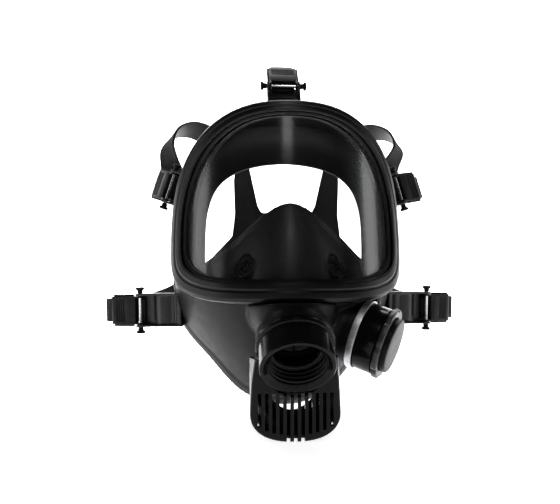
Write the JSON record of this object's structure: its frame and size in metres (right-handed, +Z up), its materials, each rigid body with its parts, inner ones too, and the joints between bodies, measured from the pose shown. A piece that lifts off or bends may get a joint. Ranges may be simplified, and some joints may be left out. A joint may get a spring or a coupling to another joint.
{
  "type": "full face respirator",
  "caption": "Full face mask with a panoramic visor, rubber face blank, nose cup, slanted front connector over a slotted exhalation cowl, side speech port and a buckled rubber head harness.",
  "frame": {"origin": "on the mask's plane of symmetry, at the middle of the face opening, where the wearer's face is", "axes": "+X towards the side with the speech port, -Y forwards, away from the face, +Z up"},
  "size_m": [0.3094, 0.2131, 0.2948],
  "materials": {
    "frame_plastic": "semi-gloss moulded black",
    "blank_rubber": "smooth satin black rubber",
    "seal_rubber": "soft matt black rubber",
    "lug_rubber": "satin black moulded rubber",
    "strap_rubber": "matt black rubber with fine serrations",
    "valve_rubber": "thin matt silicone",
    "clear_lens": "clear coated polycarbonate",
    "gloss_plastic": "glossy black moulded plastic",
    "satin_plastic": "satin black moulded plastic",
    "bezel_plastic": "satin dark grey moulded plastic",
    "cap_plastic": "matt mid grey plastic",
    "bright_steel": "bright polished steel",
    "band_steel": "brushed stainless steel"
  },
  "bodies": {
    "facepiece": {"visor_frame": "frame_plastic", "lens_gasket": "blank_rubber", "visor_lens": "clear_lens", "face_blank_upper_left": "blank_rubber", "face_blank_upper_right": "blank_rubber", "face_blank_cheek_left": "blank_rubber", "face_blank_cheek_right": "blank_rubber", "face_blank_chin": "blank_rubber", "face_seal": "seal_rubber", "connector_body": "gloss_plastic", "connector_clamp_ring": "satin_plastic", "connector_gasket": "valve_rubber", "inhalation_valve_seat": "satin_plastic", "exhalation_valve_seat": "satin_plastic", "exhalation_valve_spring": "bright_steel", "exhalation_spring_bridge": "satin_plastic", "exhalation_cowl": "gloss_plastic", "nose_cup": "seal_rubber", "nose_cup_valve_seat_left": "satin_plastic", "nose_cup_valve_seat_right": "satin_plastic", "side_port_housing": "gloss_plastic", "diaphragm_gasket": "valve_rubber", "speech_diaphragm": "band_steel", "diaphragm_lock_ring": "satin_plastic", "clamp_band": "band_steel", "harness_plate": "strap_rubber", "strap_top": "strap_rubber", "strap_temple_left": "strap_rubber", "strap_lower_left": "strap_rubber", "strap_temple_right": "strap_rubber", "strap_lower_right": "strap_rubber", "buckle_base_top": "lug_rubber", "buckle_pin_top": "bright_steel", "buckle_base_temple_left": "lug_rubber", "buckle_pin_temple_left": "bright_steel", "buckle_base_temple_right": "lug_rubber", "buckle_pin_temple_right": "bright_steel", "buckle_base_lower_left": "lug_rubber", "buckle_pin_lower_left": "bright_steel", "buckle_base_lower_right": "lug_rubber", "buckle_pin_lower_right": "bright_steel"},
    "inhalation_disc": {"inhalation_valve_disc": "valve_rubber"},
    "exhalation_disc": {"exhalation_valve_disc": "valve_rubber"},
    "nose_cup_disc_left": {"nose_cup_valve_disc_left": "valve_rubber"},
    "nose_cup_disc_right": {"nose_cup_valve_disc_right": "valve_rubber"},
    "side_cap_unit": {"bezel_ring": "bezel_plastic", "side_cap": "cap_plastic"},
    "clamp_screw": {"clamp_screw": "bright_steel"},
    "lever_top": {"buckle_lever_top": "satin_plastic"},
    "lever_temple_left": {"buckle_lever_temple_left": "satin_plastic"},
    "lever_temple_right": {"buckle_lever_temple_right": "satin_plastic"},
    "lever_lower_left": {"buckle_lever_lower_left": "satin_plastic"},
    "lever_lower_right": {"buckle_lever_lower_right": "satin_plastic"}
  },
  "joints": [
    {"name": "lever_top_open", "type": "hinge", "parent": "facepiece", "child": "lever_top", "pos_m": [0, 0.035, 0.1405], "axis": [1, 0, 0], "range_deg": [0, 75]},
    {"name": "lever_temple_left_open", "type": "hinge", "parent": "facepiece", "child": "lever_temple_left", "pos_m": [-0.094, 0.03, 0.0538], "axis": [0.3176, -0.0184, 0.9481], "range_deg": [0, 75]},
    {"name": "lever_temple_right_open", "type": "hinge", "parent": "facepiece", "child": "lever_temple_right", "pos_m": [0.098, 0.031, 0.0538], "axis": [0.2645, -0.1173, -0.9572], "range_deg": [0, 75]},
    {"name": "lever_lower_left_open", "type": "hinge", "parent": "facepiece", "child": "lever_lower_left", "pos_m": [-0.12, 0.041, -0.049], "axis": [-0.0278, 0.0111, 0.9996], "range_deg": [0, 75]},
    {"name": "lever_lower_right_open", "type": "hinge", "parent": "facepiece", "child": "lever_lower_right", "pos_m": [0.127, 0.046, -0.049], "axis": [-0.0271, -0.013, -0.9995], "range_deg": [0, 75]},
    {"name": "side_cap_unscrew", "type": "hinge", "parent": "facepiece", "child": "side_cap_unit", "pos_m": [0.0545, -0.0255, -0.0625], "axis": [0.8474, -0.4387, -0.2991], "continuous": true},
    {"name": "clamp_screw_turn", "type": "hinge", "parent": "facepiece", "child": "clamp_screw", "pos_m": [0.05879, -0.00431, -0.08243], "axis": [-0.5129, -0.5307, -0.6747], "continuous": true},
    {"name": "inhalation_lift", "type": "slide", "parent": "facepiece", "child": "inhalation_disc", "axis": [0, 0.7694, 0.6388], "range_m": [0, 0.002], "stiffness_N_per_m": 40},
    {"name": "exhalation_lift", "type": "slide", "parent": "facepiece", "child": "exhalation_disc", "axis": [0, -0.7694, -0.6388], "range_m": [0, 0.0025], "stiffness_N_per_m": 60, "deforming": ["exhalation_valve_spring"]},
    {"name": "nose_cup_lift_left", "type": "slide", "parent": "facepiece", "child": "nose_cup_disc_left", "axis": [0.6202, 0.6202, -0.4802], "range_m": [0, 0.0015], "stiffness_N_per_m": 30},
    {"name": "nose_cup_lift_right", "type": "slide", "parent": "facepiece", "child": "nose_cup_disc_right", "axis": [-0.6202, 0.6202, -0.4802], "range_m": [0, 0.0015], "stiffness_N_per_m": 30}
  ]
}
